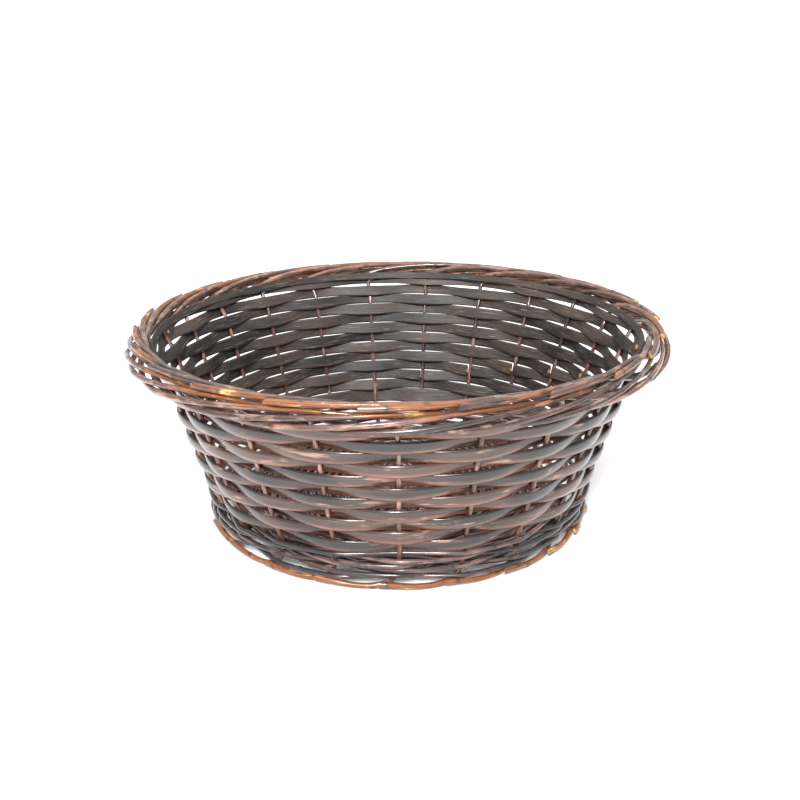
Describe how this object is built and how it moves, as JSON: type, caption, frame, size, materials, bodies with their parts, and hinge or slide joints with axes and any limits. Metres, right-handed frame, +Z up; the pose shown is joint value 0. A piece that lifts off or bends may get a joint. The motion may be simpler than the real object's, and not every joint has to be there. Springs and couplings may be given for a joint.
{
  "type": "woven fruit basket",
  "caption": "Round flared willow basket: laid base, side stakes, wale, over-and-under split weave and a rod border.",
  "frame": {"origin": "centre of the ring on the ground that the foot rests on", "axes": "+Z up through the middle of the opening, -Y towards the front, +X to the right seen from the front"},
  "size_m": [0.3975, 0.3974, 0.1505],
  "materials": {
    "stake_rod": "dark brown stained and lacquered round willow rod",
    "split_weaver": "dark brown split willow, satin bark side out and matt cut side in",
    "wale_rod": "dark brown lacquered thin willow rod",
    "base_stick": "dark brown stained thick willow rod",
    "base_weaver": "dark brown stained thin willow rod"
  },
  "bodies": {
    "root": {"side_stake_01": "stake_rod", "side_stake_02": "stake_rod", "side_stake_03": "stake_rod", "side_stake_04": "stake_rod", "side_stake_05": "stake_rod", "side_stake_06": "stake_rod", "side_stake_07": "stake_rod", "side_stake_08": "stake_rod", "side_stake_09": "stake_rod", "side_stake_10": "stake_rod", "side_stake_11": "stake_rod", "side_stake_12": "stake_rod", "side_stake_13": "stake_rod", "side_stake_14": "stake_rod", "side_stake_15": "stake_rod", "side_stake_16": "stake_rod", "side_stake_17": "stake_rod", "side_stake_18": "stake_rod", "side_stake_19": "stake_rod", "side_stake_20": "stake_rod", "side_stake_21": "stake_rod", "side_stake_22": "stake_rod", "side_stake_23": "stake_rod", "side_weaver_01": "split_weaver", "side_weaver_02": "split_weaver", "side_weaver_03": "split_weaver", "side_weaver_04": "split_weaver", "side_weaver_05": "split_weaver", "side_weaver_06": "split_weaver", "side_weaver_07": "split_weaver", "side_weaver_08": "split_weaver", "side_weaver_09": "split_weaver", "side_weaver_10": "split_weaver", "side_weaver_11": "split_weaver", "side_weaver_12": "split_weaver", "side_weaver_13": "split_weaver", "side_weaver_14": "split_weaver", "wale_rod_1": "wale_rod", "wale_rod_2": "wale_rod", "wale_rod_3": "wale_rod", "base_stick_1": "base_stick", "base_stick_2": "base_stick", "base_stick_3": "base_stick", "base_stick_4": "base_stick", "base_stick_5": "base_stick", "base_stick_6": "base_stick", "base_weaver_1": "base_weaver", "base_weaver_2": "base_weaver", "base_weaver_3": "base_weaver", "base_weaver_4": "base_weaver"}
  },
  "joints": []
}
